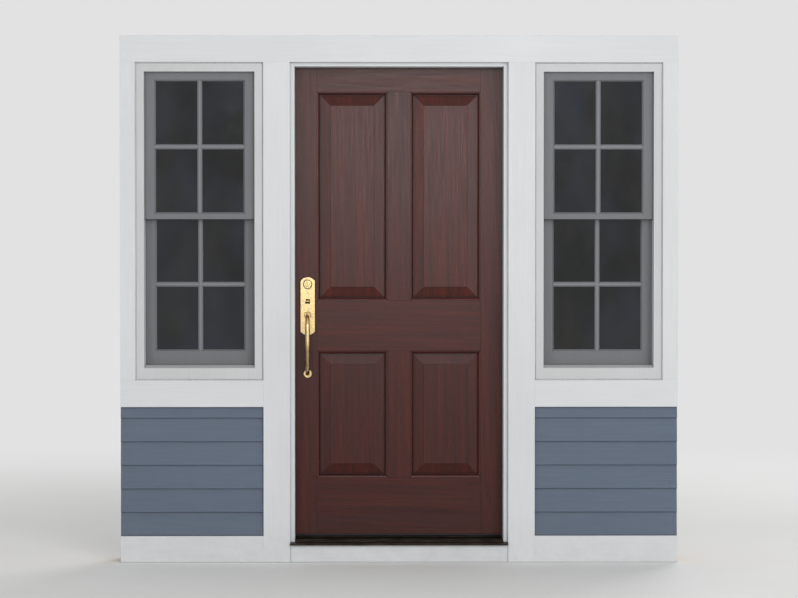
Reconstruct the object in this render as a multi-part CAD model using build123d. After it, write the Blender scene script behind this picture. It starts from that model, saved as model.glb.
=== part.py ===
from build123d import *
import os

# A house's front entry, as one unit cut off at the wall: a four-panel wooden door that swings in,
# with a tall double-hung window on each side over a low boarded wall.
# Millimetres. X to the right seen from outside, Y into the house, Z up.
# The origin is under the middle of the sill, at half the wall's depth.

# Wall
WALL_DEPTH = 165.0
WALL_FRONT = -WALL_DEPTH / 2
WALL_BACK = WALL_DEPTH / 2

# Door leaf, 36 by 80 inches and 1 3/4 inches thick
DOOR_WIDTH = 914.4
DOOR_HEIGHT = 2032.0
DOOR_THICK = 44.45
DOOR_GAP = 5.5
LOCK_EDGE_BEVEL = 2.4
STILE_FLAT = 101.3
MULLION_FLAT = 98.0
TOP_RAIL_FLAT = 110.0
LOCK_RAIL_FLAT = 218.0
BOTTOM_RAIL_FLAT = 246.0
LOWER_OPENING = 552.0

# Moulded edge of each door member, with the groove that holds the panels
STICK_WIDTH = 12.7
STICK_QUIRK = 1.6
STICK_RADIUS = 11.0
GROOVE_DEPTH = 12.0
GROOVE_WIDTH = 11.5

# Raised panels
PANEL_PLAY = 0.2
PANEL_END_PLAY = 2.0
PANEL_FIELD_THICK = 31.8
PANEL_BEVEL = 45.0
PANEL_MARGIN = 1.5
PANEL_STEP = 2.4

# Sill, riser and threshold
SILL_HEIGHT = 75.0
RISER_THICK = 19.0
THRESHOLD_TOP = 100.0
THRESHOLD_NOSE = 20.0
THRESHOLD_NOSE_THICK = 8.0
THRESHOLD_BACK = 7.5
THRESHOLD_CAP_RISE = 6.0
THRESHOLD_RIBS = 6
RIB_PITCH = 12.0
RIB_WIDTH = 4.0
RIB_DEPTH = 1.2
DOOR_BOTTOM_GAP = 8.0
SWEEP_CLEARANCE = 1.0
SWEEP_DEPTH = 30.0
SWEEP_BASE = 3.0
SWEEP_LIP = 4.0
SWEEP_END_GAP = 4.0

# Jambs, cut from one thickness with a rabbet for the door
JAMB_THICK = 19.0
STOP_WIDTH = 12.7
STOP_CLEARANCE = 5.0
SEAL_THICK = 4.0
SEAL_WIDTH = 8.0
SEAL_INSET = 2.0

# Posts between the door and the windows, and at the unit's ends
MULL_POST_WIDTH = 101.6
END_POST_WIDTH = 64.0

# Outside casings and boards
CASING_THICK = 25.0
CASING_REVEAL = 6.3
HEAD_REVEAL = 4.5
HEAD_CASING_HEIGHT = 114.0
APRON_HEIGHT = 114.0
SKIRT_HEIGHT = 114.0
SIDING_THICK = 15.0

# Side windows
WINDOW_WIDTH = 550.0
WINDOW_BOTTOM = 784.0
WINDOW_SILL_HEIGHT = 63.0
WINDOW_SILL_SLOPE = 10.0
FRAME_FACE = 38.0
FRAME_HEAD_FACE = 40.0
FRAME_PROUD = 12.0
TRACK_DEPTH = 13.0
OUTER_STOP_DEPTH = 30.0
PARTING_BEAD = 12.0
SASH_THICK = 34.0
SASH_PLAY = 0.3
SASH_STILE_FACE = 49.0
SASH_TOP_FACE = 40.0
SASH_BOTTOM_RAIL = 67.0
MEETING_RAIL = 30.0
PUTTY_CHAMFER = 7.0
GLASS_THICK = 5.0
GLASS_BITE = 8.0
GLASS_PLAY = 0.2

# Inside trim
INSIDE_CASING_THICK = 19.0
INSIDE_REVEAL = 6.4
INSIDE_SILL_THICK = 25.0
INSIDE_SILL_DEPTH = 42.0
INSIDE_SILL_ROUND = 8.0
SKIRTING_HEIGHT = 140.0
SKIRTING_THICK = 15.0

# Hinges, three butts of five knuckles
HINGE_HEIGHT = 101.6
HINGE_LEAF_DEPTH = 38.0
HINGE_LEAF_THICK = 2.5
KNUCKLES = 5
KNUCKLE_RADIUS = 6.35
KNUCKLE_GAP = 0.3
KNUCKLE_CLEARANCE = 0.8
PIN_RADIUS = 3.0
PIN_PLAY = 0.1
PIN_OFFSET = 7.5
PIN_HEAD_RADIUS = 4.8
PIN_HEAD_HEIGHT = 3.5
PIN_HEAD_CHAMFER = 1.2
TOP_HINGE_DROP = 177.8
BOTTOM_HINGE_RISE = 279.4

# Lock and handle set
BACKSET = 61.0
LATCH_HEIGHT = 1014.0
PLATE_WIDTH = 64.0
PLATE_ABOVE_LATCH = 104.0
PLATE_BELOW_LATCH = 149.0
PLATE_THICK = 4.0
PLATE_ARCH = 16.0
PLATE_CHAMFER = 1.5
CYLINDER_ABOVE_LATCH = 73.0
CYLINDER_RADIUS = 19.0
CYLINDER_PROUD = 12.0
CYLINDER_CHAMFER = 3.0
PLUG_RADIUS = 8.0
PLUG_PROUD = 1.5
KEY_SLOT_HEIGHT = 9.0
KEY_SLOT_WIDTH = 2.2
KEY_SLOT_DEPTH = 6.0
GRIP_TOP_BELOW_LATCH = 62.0
GRIP_FOOT_BELOW_LATCH = 316.0
GRIP_REACH = 58.0
GRIP_BEND = 46.0
GRIP_END_RADIUS = 7.0
GRIP_MIDDLE_RADIUS = 10.5
GRIP_BOSS_RADIUS = 14.0
GRIP_BOSS_THICK = 6.0
GRIP_BOSS_CHAMFER = 2.0
GRIP_FOOT_RADIUS = 19.0
THUMB_SLOT_MARGIN = 5.5
THUMB_NECK_WIDTH = 8.0
THUMB_NECK_THICK = 6.0
THUMB_PAD_WIDTH = 27.0
THUMB_PAD_LENGTH = 36.0
THUMB_PAD_THICK = 5.0
THUMB_PAD_STANDOFF = 5.5
THUMB_PAD_LAP = 2.0
THUMB_TIP_RADIUS = 12.5
THUMB_ROOT_RADIUS = 4.2
THUMB_DISH_RADIUS = 108.0
THUMB_DISH_DEPTH = 2.0
THUMB_TRAVEL = 3.0
THUMB_PIN_DEPTH = 9.0
THUMB_PIN_RADIUS = 2.5
THUMB_HUB_RADIUS = 4.8
THUMB_END_PLAY = 0.4
LUG_THICK = 3.0
LUG_HALF_HEIGHT = 6.0
POCKET_MARGIN = 2.0
POCKET_DEPTH = 22.0
KNOB_BELOW_LATCH = 40.0
KNOB_RADIUS = 27.0
KNOB_REACH = 58.0
KNOB_NECK_RADIUS = 11.0
KNOB_THICK = 30.0
KNOB_BACK_SLOPE = 15.0
KNOB_RIM_WIDTH = 5.0
KNOB_FACE_RADIUS = 13.5
KNOB_RIM_ROUND = 4.0
KNOB_ROSE_RADIUS = 24.0
KNOB_ROSE_THICK = 6.0
KNOB_ROSE_RIM = 3.0
TURN_BASE_RADIUS = 17.0
TURN_BASE_THICK = 6.0
TURN_LENGTH = 34.0
TURN_THICK = 7.0
TURN_REACH = 24.0
TURN_BASE_CHAMFER = 2.0
TURN_WING_ROUND = 8.0
FACEPLATE_WIDTH = 25.4
FACEPLATE_HEIGHT = 57.2
FACEPLATE_THICK = 2.5
STRIKE_WIDTH = 28.0
STRIKE_HEIGHT = 70.0
STRIKE_THICK = 2.0
STRIKE_HOLE_WIDTH = 16.0
STRIKE_HOLE_HEIGHT = 28.0
STRIKE_HOLE_DEPTH = 12.0

# How far a cut runs past the face it opens
PAST = 1.0

# Places worked out from the sizes above
DOOR_HALF = DOOR_WIDTH / 2
DOOR_BOTTOM = THRESHOLD_TOP + DOOR_BOTTOM_GAP
DOOR_TOP = DOOR_BOTTOM + DOOR_HEIGHT
DOOR_FRONT = WALL_BACK - DOOR_THICK
DOOR_MIDDLE = WALL_BACK - DOOR_THICK / 2
STILE_EDGE = DOOR_HALF - STILE_FLAT
LOWER_OPENING_BOTTOM = DOOR_BOTTOM + BOTTOM_RAIL_FLAT
LOWER_OPENING_TOP = LOWER_OPENING_BOTTOM + LOWER_OPENING
UPPER_OPENING_BOTTOM = LOWER_OPENING_TOP + LOCK_RAIL_FLAT
UPPER_OPENING_TOP = DOOR_TOP - TOP_RAIL_FLAT

JAMB_FACE = DOOR_HALF + DOOR_GAP
JAMB_BACK = JAMB_FACE + JAMB_THICK
STOP_EDGE = JAMB_FACE - STOP_WIDTH
HEAD_FACE = DOOR_TOP + DOOR_GAP
HEAD_BACK = HEAD_FACE + JAMB_THICK
STOP_SHOULDER = DOOR_FRONT - STOP_CLEARANCE

CASING_FRONT = WALL_FRONT - CASING_THICK
CASING_EDGE = JAMB_FACE + CASING_REVEAL
WINDOW_EDGE = JAMB_BACK + MULL_POST_WIDTH
WINDOW_END = WINDOW_EDGE + WINDOW_WIDTH
WINDOW_MIDDLE = (WINDOW_EDGE + WINDOW_END) / 2
UNIT_HALF = WINDOW_END + END_POST_WIDTH
HEAD_CASING_BOTTOM = HEAD_FACE + HEAD_REVEAL
UNIT_HEIGHT = HEAD_CASING_BOTTOM + HEAD_CASING_HEIGHT
APRON_BOTTOM = WINDOW_BOTTOM - APRON_HEIGHT

SASH_OPENING_HALF = WINDOW_WIDTH / 2 - FRAME_FACE
TRACK_HALF = SASH_OPENING_HALF + TRACK_DEPTH
SASH_OPENING_BOTTOM = WINDOW_BOTTOM + WINDOW_SILL_HEIGHT
SASH_OPENING_TOP = HEAD_CASING_BOTTOM - FRAME_HEAD_FACE
MEETING_MIDDLE = (SASH_OPENING_BOTTOM + SASH_BOTTOM_RAIL + SASH_OPENING_TOP - SASH_TOP_FACE) / 2
FRAME_FRONT = WALL_FRONT - FRAME_PROUD
UPPER_TRACK_FRONT = FRAME_FRONT + OUTER_STOP_DEPTH
UPPER_TRACK_BACK = UPPER_TRACK_FRONT + SASH_THICK + 2 * SASH_PLAY
LOWER_TRACK_FRONT = UPPER_TRACK_BACK + PARTING_BEAD
LOWER_TRACK_BACK = LOWER_TRACK_FRONT + SASH_THICK + 2 * SASH_PLAY
SASH_MEETING_PLANE = (UPPER_TRACK_BACK + LOWER_TRACK_FRONT) / 2

INSIDE_FACE = WALL_BACK + INSIDE_CASING_THICK
INSIDE_CASING_EDGE = JAMB_FACE + INSIDE_REVEAL
INSIDE_WINDOW_EDGE = WINDOW_EDGE + FRAME_FACE - INSIDE_REVEAL
INSIDE_WINDOW_END = WINDOW_END - FRAME_FACE + INSIDE_REVEAL

PIN_X = (DOOR_HALF + JAMB_FACE) / 2
PIN_Y = WALL_BACK + PIN_OFFSET
TOP_HINGE_Z = DOOR_TOP - TOP_HINGE_DROP - HINGE_HEIGHT / 2
BOTTOM_HINGE_Z = DOOR_BOTTOM + BOTTOM_HINGE_RISE + HINGE_HEIGHT / 2
HINGE_HEIGHTS = (BOTTOM_HINGE_Z, (BOTTOM_HINGE_Z + TOP_HINGE_Z) / 2, TOP_HINGE_Z)

LATCH_X = -(DOOR_HALF - BACKSET)
LATCH_Z = DOOR_BOTTOM + LATCH_HEIGHT
PLATE_FRONT = DOOR_FRONT - PLATE_THICK
PLATE_BOTTOM = LATCH_Z - PLATE_BELOW_LATCH
PLATE_TOP = LATCH_Z + PLATE_ABOVE_LATCH
CYLINDER_Z = LATCH_Z + CYLINDER_ABOVE_LATCH
THUMB_PIN_Y = DOOR_FRONT + THUMB_PIN_DEPTH
THUMB_SLOT_HALF = THUMB_NECK_WIDTH / 2 + THUMB_SLOT_MARGIN
LOCK_HEIGHTS = (LATCH_Z, CYLINDER_Z)


def block(x0, x1, y0, y1, z0, z1):
    """A box between two corners."""
    size = (x1 - x0, y1 - y0, z1 - z0)
    return Pos(x0, y0, z0) * Box(*size, align=(Align.MIN, Align.MIN, Align.MIN))


def rod(x, z, radius, y0, y1):
    """A round bar from y0 to y1."""
    return Pos(x, (y0 + y1) / 2, z) * Rot(90, 0, 0) * Cylinder(radius, y1 - y0)


def both_sides(solid):
    """The solid and its mirror image on the other side of the door."""
    return solid + mirror(solid, about=Plane.YZ)


def along_x(outline, x0, x1):
    """A closed (y, z) outline drawn out from x0 to x1."""
    plane = Plane(origin=(x0, 0, 0), x_dir=(0, 1, 0), z_dir=(1, 0, 0))
    return extrude(plane * outline, x1 - x0, dir=(1, 0, 0))


def moulded_section(flat, sides):
    """Section of a door member: a flat, and on each named side an ovolo with a panel groove."""
    section = Rectangle(flat, DOOR_THICK)
    for side in sides:
        strip = Pos(STICK_WIDTH / 2, 0) * Rectangle(STICK_WIDTH, DOOR_THICK - 2 * STICK_QUIRK)
        strip = fillet(strip.vertices().sort_by(Axis.X)[-2:], STICK_RADIUS)
        edge = Pos(flat / 2, 0) * strip
        section += edge if side > 0 else mirror(edge, about=Plane.YZ)
        groove_x = side * (flat / 2 + STICK_WIDTH - GROOVE_DEPTH / 2)
        section -= Pos(groove_x, 0) * Rectangle(GROOVE_DEPTH, GROOVE_WIDTH)
    return section


def upright_member(flat, sides, x, z0, z1):
    """A door member that runs up from z0 to z1, with the middle of its flat at x."""
    return Pos(x, DOOR_MIDDLE, z0) * extrude(moulded_section(flat, sides), z1 - z0)


def level_member(flat, sides, z, x0, x1):
    """A door member that runs from x0 to x1, with the middle of its flat at height z."""
    plane = Plane(origin=(x0, DOOR_MIDDLE, z), x_dir=(0, 0, 1), z_dir=(1, 0, 0))
    return extrude(plane * moulded_section(flat, sides), x1 - x0)


def plain_stiles():
    """Both stiles at full width, before any lock or hinge is let in."""
    middle = STILE_EDGE + STILE_FLAT / 2
    lock = upright_member(STILE_FLAT, (1,), -middle, DOOR_BOTTOM, DOOR_TOP)
    hinge = upright_member(STILE_FLAT, (-1,), middle, DOOR_BOTTOM, DOOR_TOP)
    edge = Polygon(
        (-DOOR_HALF - PAST, DOOR_FRONT - PAST),
        (-DOOR_HALF + LOCK_EDGE_BEVEL, DOOR_FRONT - PAST),
        (-DOOR_HALF + LOCK_EDGE_BEVEL, DOOR_FRONT),
        (-DOOR_HALF, WALL_BACK),
        (-DOOR_HALF - PAST, WALL_BACK),
        align=None,
    )
    return lock - Pos(0, 0, DOOR_BOTTOM) * extrude(edge, DOOR_HEIGHT), hinge


def make_rails(lock, hinge):
    """Top, lock and bottom rails, coped over the stiles' moulding with stub tenons in the grooves."""
    spans = (
        ("top_rail", TOP_RAIL_FLAT, (-1,), UPPER_OPENING_TOP + TOP_RAIL_FLAT / 2),
        ("lock_rail", LOCK_RAIL_FLAT, (-1, 1), LOWER_OPENING_TOP + LOCK_RAIL_FLAT / 2),
        ("bottom_rail", BOTTOM_RAIL_FLAT, (1,), DOOR_BOTTOM + BOTTOM_RAIL_FLAT / 2),
    )
    rails = {}
    for name, flat, sides, z in spans:
        rails[name] = level_member(flat, sides, z, -STILE_EDGE, STILE_EDGE) - lock - hinge
    return rails


def make_mullions(rails):
    """Upper and lower mullions, coped over the rails in the same way."""
    upper = upright_member(MULLION_FLAT, (-1, 1), 0, UPPER_OPENING_BOTTOM, UPPER_OPENING_TOP)
    lower = upright_member(MULLION_FLAT, (-1, 1), 0, LOWER_OPENING_BOTTOM, LOWER_OPENING_TOP)
    upper = upper - rails["top_rail"] - rails["lock_rail"]
    lower = lower - rails["lock_rail"] - rails["bottom_rail"]
    return upper, lower


def raised_panel(x0, x1, z0, z1):
    """A panel raised on both faces, for the opening between the four moulded edges."""
    bite = GROOVE_DEPTH - PANEL_END_PLAY
    tongue = GROOVE_WIDTH / 2 - PANEL_PLAY
    field = PANEL_FIELD_THICK / 2
    centre = ((x0 + x1) / 2, (z0 + z1) / 2)
    panel = block(
        x0 - bite, x1 + bite, DOOR_MIDDLE - tongue, DOOR_MIDDLE + tongue, z0 - bite, z1 + bite
    )
    inset = PANEL_MARGIN + PANEL_BEVEL
    panel += block(
        x0 + inset, x1 - inset, DOOR_MIDDLE - field, DOOR_MIDDLE + field, z0 + inset, z1 - inset
    )
    base = Rectangle(x1 - x0 - 2 * PANEL_MARGIN, z1 - z0 - 2 * PANEL_MARGIN)
    crown = Rectangle(x1 - x0 - 2 * inset, z1 - z0 - 2 * inset)
    for face in (-1, 1):
        outward = Plane(
            origin=(centre[0], DOOR_MIDDLE, centre[1]), x_dir=(-face, 0, 0), z_dir=(0, face, 0)
        )
        low = outward.offset(tongue) * base
        high = outward.offset(field - PANEL_STEP) * crown
        panel += loft([low, high])
    return panel


def panel_pair(z0, z1):
    """The two panels of one row."""
    x0 = MULLION_FLAT / 2 + STICK_WIDTH
    x1 = STILE_EDGE - STICK_WIDTH
    return both_sides(raised_panel(x0, x1, z0 + STICK_WIDTH, z1 - STICK_WIDTH))


def lock_edge_plates(stile):
    """Latch and bolt faceplates, let in flush with the bevelled lock edge."""
    inner = Pos(FACEPLATE_THICK, 0, 0) * stile
    plates = None
    for z in LOCK_HEIGHTS:
        patch = block(
            -DOOR_HALF - PAST,
            -DOOR_HALF + STILE_FLAT / 2,
            DOOR_MIDDLE - FACEPLATE_WIDTH / 2,
            DOOR_MIDDLE + FACEPLATE_WIDTH / 2,
            z - FACEPLATE_HEIGHT / 2,
            z + FACEPLATE_HEIGHT / 2,
        )
        plate = (patch & stile) - inner
        plates = plate if plates is None else plates + plate
    return plates


def thumb_pocket():
    """The hollow behind the handle plate for the thumb piece's pin and lugs."""
    half = THUMB_SLOT_HALF + LUG_THICK + POCKET_MARGIN
    reach = LUG_HALF_HEIGHT + POCKET_MARGIN + THUMB_SLOT_MARGIN
    return block(
        LATCH_X - half, LATCH_X + half, DOOR_FRONT, DOOR_FRONT + POCKET_DEPTH,
        LATCH_Z - reach, LATCH_Z + reach,
    )


def knuckle(z, index, room, gap):
    """One knuckle's cylinder up the hinge centred at z, with room round it and a gap at its ends."""
    pitch = HINGE_HEIGHT / KNUCKLES
    middle = z - HINGE_HEIGHT / 2 + (index + 0.5) * pitch
    return Pos(PIN_X, PIN_Y, middle) * Cylinder(KNUCKLE_RADIUS + room, pitch - gap)


def leaf_plate(side, z):
    """The flat of a hinge leaf: side -1 is let into the door, side 1 into the jamb."""
    face = PIN_X + side * DOOR_GAP / 2
    low, high = sorted((face, face + side * HINGE_LEAF_THICK))
    half = HINGE_HEIGHT / 2
    return block(low, high, WALL_BACK - HINGE_LEAF_DEPTH, PIN_Y, z - half, z + half)


def hinge_leaves(side, first_own):
    """The three leaves on one side, bored for the pins, with every other knuckle from first_own up."""
    leaves = None
    for z in HINGE_HEIGHTS:
        leaf = leaf_plate(side, z)
        for index in range(KNUCKLES):
            if index % 2 == first_own:
                leaf += knuckle(z, index, 0, KNUCKLE_GAP)
            else:
                leaf -= knuckle(z, index, KNUCKLE_CLEARANCE, -KNUCKLE_GAP)
        leaf -= Pos(PIN_X, PIN_Y, z) * Cylinder(PIN_RADIUS + PIN_PLAY, 2 * HINGE_HEIGHT)
        leaves = leaf if leaves is None else leaves + leaf
    return leaves


def hinge_pins():
    """The three loose pins, with round heads on the top knuckles."""
    pins = None
    for z in HINGE_HEIGHTS:
        top = z + HINGE_HEIGHT / 2
        pin = Pos(PIN_X, PIN_Y, z) * Cylinder(PIN_RADIUS, HINGE_HEIGHT)
        head = Pos(PIN_X, PIN_Y, top) * Cylinder(
            PIN_HEAD_RADIUS, PIN_HEAD_HEIGHT, align=(Align.CENTER, Align.CENTER, Align.MIN)
        )
        pin += chamfer(head.edges().group_by(Axis.Z)[-1], PIN_HEAD_CHAMFER)
        pins = pin if pins is None else pins + pin
    return pins


def door_sweep():
    """Rubber sweep under the door: a base strip with two lips."""
    half = DOOR_HALF - SWEEP_END_GAP
    sweep = block(
        -half, half, DOOR_MIDDLE - SWEEP_DEPTH / 2, DOOR_MIDDLE + SWEEP_DEPTH / 2,
        DOOR_BOTTOM - SWEEP_BASE, DOOR_BOTTOM,
    )
    low = THRESHOLD_TOP + SWEEP_CLEARANCE
    for side in (-1, 1):
        y = DOOR_MIDDLE + side * (SWEEP_DEPTH - SWEEP_LIP) / 2
        sweep += block(-half, half, y - SWEEP_LIP / 2, y + SWEEP_LIP / 2, low, DOOR_BOTTOM)
    return sweep


def plate_outline():
    """The handle plate's outline: straight sides with an arched top and bottom."""
    half = PLATE_WIDTH / 2
    with BuildSketch() as outline:
        with BuildLine():
            right = Line((half, PLATE_BOTTOM + PLATE_ARCH), (half, PLATE_TOP - PLATE_ARCH))
            top = ThreePointArc(right @ 1, (0, PLATE_TOP), (-half, PLATE_TOP - PLATE_ARCH))
            left = Line(top @ 1, (-half, PLATE_BOTTOM + PLATE_ARCH))
            ThreePointArc(left @ 1, (0, PLATE_BOTTOM), right @ 0)
        make_face()
    return outline.sketch


def lock_plate(back, outward):
    """One plate of the handle set, on the door face at y = back, with a chamfered front edge."""
    plane = Plane(origin=(LATCH_X, back, 0), x_dir=(-outward, 0, 0), z_dir=(0, outward, 0))
    plate = extrude(plane * plate_outline(), PLATE_THICK)
    front = plate.faces().sort_by(Axis.Y)[0 if outward < 0 else -1]
    return chamfer(front.edges(), PLATE_CHAMFER)


def outer_handle_plate():
    """Outside plate, slotted for the thumb piece, with the two lugs and the pin that carry it."""
    slot_up = THUMB_NECK_THICK / 2 + THUMB_SLOT_MARGIN
    slot_down = slot_up + THUMB_TRAVEL
    plate = lock_plate(DOOR_FRONT, -1) - block(
        LATCH_X - THUMB_SLOT_HALF, LATCH_X + THUMB_SLOT_HALF, PLATE_FRONT - PAST, DOOR_FRONT + PAST,
        LATCH_Z - slot_down, LATCH_Z + slot_up,
    )
    outer = THUMB_SLOT_HALF + LUG_THICK
    lug_end = THUMB_PIN_Y + LUG_HALF_HEIGHT
    for side in (-1, 1):
        low, high = sorted((LATCH_X + side * THUMB_SLOT_HALF, LATCH_X + side * outer))
        plate += block(
            low, high, DOOR_FRONT, lug_end, LATCH_Z - LUG_HALF_HEIGHT, LATCH_Z + LUG_HALF_HEIGHT
        )
    pin = Pos(LATCH_X, THUMB_PIN_Y, LATCH_Z) * Rot(0, 90, 0) * Cylinder(THUMB_PIN_RADIUS, 2 * outer)
    return plate + pin


def thumb_piece():
    """Thumb piece: a hub on the pin, a neck through the plate's slot and a dished pad."""
    hub_half = THUMB_SLOT_HALF - THUMB_END_PLAY
    turn = Pos(LATCH_X, THUMB_PIN_Y, LATCH_Z) * Rot(0, 90, 0)
    pad_back = PLATE_FRONT - THUMB_PAD_STANDOFF
    pad_front = pad_back - THUMB_PAD_LENGTH
    neck = block(
        LATCH_X - THUMB_NECK_WIDTH / 2, LATCH_X + THUMB_NECK_WIDTH / 2,
        pad_back - THUMB_PAD_LAP, THUMB_PIN_Y,
        LATCH_Z - THUMB_NECK_THICK / 2, LATCH_Z + THUMB_NECK_THICK / 2,
    )
    outline = Rectangle(THUMB_PAD_WIDTH, THUMB_PAD_LENGTH)
    outline = fillet(outline.vertices().sort_by(Axis.Y)[:2], THUMB_TIP_RADIUS)
    outline = fillet(outline.vertices().sort_by(Axis.Y)[-2:], THUMB_ROOT_RADIUS)
    pad_place = Pos(LATCH_X, (pad_back + pad_front) / 2, LATCH_Z - THUMB_PAD_THICK / 2)
    pad = pad_place * extrude(outline, THUMB_PAD_THICK)
    dish_z = LATCH_Z + THUMB_PAD_THICK / 2 + THUMB_DISH_RADIUS - THUMB_DISH_DEPTH
    dish = Pos(LATCH_X, pad_front, dish_z) * Rot(0, 90, 0) * Cylinder(
        THUMB_DISH_RADIUS, 2 * THUMB_PAD_WIDTH
    )
    piece = neck + (pad - dish) + turn * Cylinder(THUMB_HUB_RADIUS, 2 * hub_half)
    return piece - turn * Cylinder(THUMB_PIN_RADIUS + PIN_PLAY, 4 * hub_half)


def handle_grip():
    """Pull grip: a bar that swells in the middle, from a boss on the plate down to a foot on the door."""
    top_z = LATCH_Z - GRIP_TOP_BELOW_LATCH
    foot_z = LATCH_Z - GRIP_FOOT_BELOW_LATCH
    out_y = DOOR_FRONT - GRIP_REACH
    with BuildLine(Plane(origin=(LATCH_X, 0, 0), x_dir=(0, 1, 0), z_dir=(1, 0, 0))) as route:
        top = Line((PLATE_FRONT, top_z), (out_y + GRIP_BEND, top_z))
        upper = TangentArc(top @ 1, (out_y, top_z - GRIP_BEND), tangent=top % 1)
        middle = Line(upper @ 1, (out_y, foot_z + GRIP_BEND))
        lower = TangentArc(middle @ 1, (out_y + GRIP_BEND, foot_z), tangent=middle % 1)
        Line(lower @ 1, (DOOR_FRONT, foot_z))
    path = route.wire()
    stations = ((0.0, GRIP_END_RADIUS), (0.5, GRIP_MIDDLE_RADIUS), (1.0, GRIP_END_RADIUS))
    sections = []
    for place, radius in stations:
        plane = Plane(origin=path @ place, x_dir=(1, 0, 0), z_dir=path % place)
        sections.append(plane * Circle(radius))
    grip = sweep(sections, path=path, multisection=True)
    boss = rod(LATCH_X, top_z, GRIP_BOSS_RADIUS, PLATE_FRONT - GRIP_BOSS_THICK, PLATE_FRONT)
    foot = rod(LATCH_X, foot_z, GRIP_FOOT_RADIUS, DOOR_FRONT - GRIP_BOSS_THICK, DOOR_FRONT)
    for base in (boss, foot):
        rim = base.faces().sort_by(Axis.Y)[0].edges()
        grip += chamfer(rim, GRIP_BOSS_CHAMFER)
    return grip


def key_cylinder():
    """Lock cylinder with its plug and key slot."""
    shell_front = PLATE_FRONT - CYLINDER_PROUD
    plug_front = shell_front - PLUG_PROUD
    body = rod(LATCH_X, CYLINDER_Z, CYLINDER_RADIUS, shell_front, PLATE_FRONT)
    body = chamfer(body.faces().sort_by(Axis.Y)[0].edges(), CYLINDER_CHAMFER)
    body += rod(LATCH_X, CYLINDER_Z, PLUG_RADIUS, plug_front, PLATE_FRONT)
    return body - block(
        LATCH_X - KEY_SLOT_WIDTH / 2, LATCH_X + KEY_SLOT_WIDTH / 2,
        plug_front - PAST, plug_front + KEY_SLOT_DEPTH,
        CYLINDER_Z - KEY_SLOT_HEIGHT / 2, CYLINDER_Z + KEY_SLOT_HEIGHT / 2,
    )


def inside_knob():
    """Inside knob on its rose, turned on one axis, with rounded rims."""
    base = WALL_BACK + PLATE_THICK
    end = WALL_BACK + KNOB_REACH
    outline = Polygon(
        (0, base),
        (KNOB_ROSE_RADIUS, base),
        (KNOB_ROSE_RADIUS, base + KNOB_ROSE_RIM),
        (KNOB_NECK_RADIUS, base + KNOB_ROSE_THICK),
        (KNOB_NECK_RADIUS, end - KNOB_THICK),
        (KNOB_RADIUS, end - KNOB_THICK + KNOB_BACK_SLOPE),
        (KNOB_RADIUS, end - KNOB_THICK + KNOB_BACK_SLOPE + KNOB_RIM_WIDTH),
        (KNOB_FACE_RADIUS, end),
        (0, end),
        align=None,
    )
    knob = revolve(outline, axis=Axis.Y)
    widest = knob.edges().filter_by(GeomType.CIRCLE).sort_by(SortBy.RADIUS)[-2:]
    knob = fillet(widest, KNOB_RIM_ROUND)
    return Pos(LATCH_X, 0, LATCH_Z - KNOB_BELOW_LATCH) * knob


def bolt_turn():
    """Inside turn piece of the bolt: a round base and a flat wing."""
    base = WALL_BACK + PLATE_THICK
    body = rod(LATCH_X, CYLINDER_Z, TURN_BASE_RADIUS, base, base + TURN_BASE_THICK)
    body = chamfer(body.faces().sort_by(Axis.Y)[-1].edges(), TURN_BASE_CHAMFER)
    wing = block(
        LATCH_X - TURN_THICK / 2, LATCH_X + TURN_THICK / 2, base, base + TURN_REACH,
        CYLINDER_Z - TURN_LENGTH / 2, CYLINDER_Z + TURN_LENGTH / 2,
    )
    wing = fillet(wing.faces().sort_by(Axis.Y)[-1].edges().filter_by(Axis.X), TURN_WING_ROUND)
    return body + wing


def side_jamb():
    """The right side jamb: one thickness with the door's rabbet on its inside half."""
    jamb = block(JAMB_FACE, JAMB_BACK, WALL_FRONT, WALL_BACK, SILL_HEIGHT, HEAD_BACK)
    return jamb + block(STOP_EDGE, JAMB_FACE, WALL_FRONT, STOP_SHOULDER, SILL_HEIGHT, HEAD_BACK)


def head_jamb(jambs):
    """Head jamb with the same rabbet, fitted between the side jambs."""
    head = block(-JAMB_FACE, JAMB_FACE, WALL_FRONT, WALL_BACK, HEAD_FACE, HEAD_BACK)
    head += block(-JAMB_FACE, JAMB_FACE, WALL_FRONT, STOP_SHOULDER, HEAD_FACE - STOP_WIDTH, HEAD_FACE)
    return head - jambs


def weatherstrip():
    """Soft strip on the stops, up both sides and across the head."""
    outer = JAMB_FACE - SEAL_INSET
    inner = outer - SEAL_WIDTH
    top = HEAD_FACE - SEAL_INSET
    back = STOP_SHOULDER + SEAL_THICK
    strip = block(-outer, outer, STOP_SHOULDER, back, THRESHOLD_TOP, top)
    return strip - block(
        -inner, inner, STOP_SHOULDER - PAST, back + PAST, THRESHOLD_TOP - PAST, top - SEAL_WIDTH
    )


def strike_plates():
    """Latch and bolt strikes, let in flush with the lock jamb's face."""
    plates = None
    for z in LOCK_HEIGHTS:
        plate = block(
            -JAMB_FACE - STRIKE_THICK, -JAMB_FACE,
            DOOR_MIDDLE - STRIKE_WIDTH / 2, DOOR_MIDDLE + STRIKE_WIDTH / 2,
            z - STRIKE_HEIGHT / 2, z + STRIKE_HEIGHT / 2,
        )
        plate -= strike_hole(z)
        plates = plate if plates is None else plates + plate
    return plates


def strike_hole(z):
    """The pocket that a bolt would enter."""
    return block(
        -JAMB_FACE - STRIKE_HOLE_DEPTH, -JAMB_FACE + PAST,
        DOOR_MIDDLE - STRIKE_HOLE_WIDTH / 2, DOOR_MIDDLE + STRIKE_HOLE_WIDTH / 2,
        z - STRIKE_HOLE_HEIGHT / 2, z + STRIKE_HOLE_HEIGHT / 2,
    )


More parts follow.
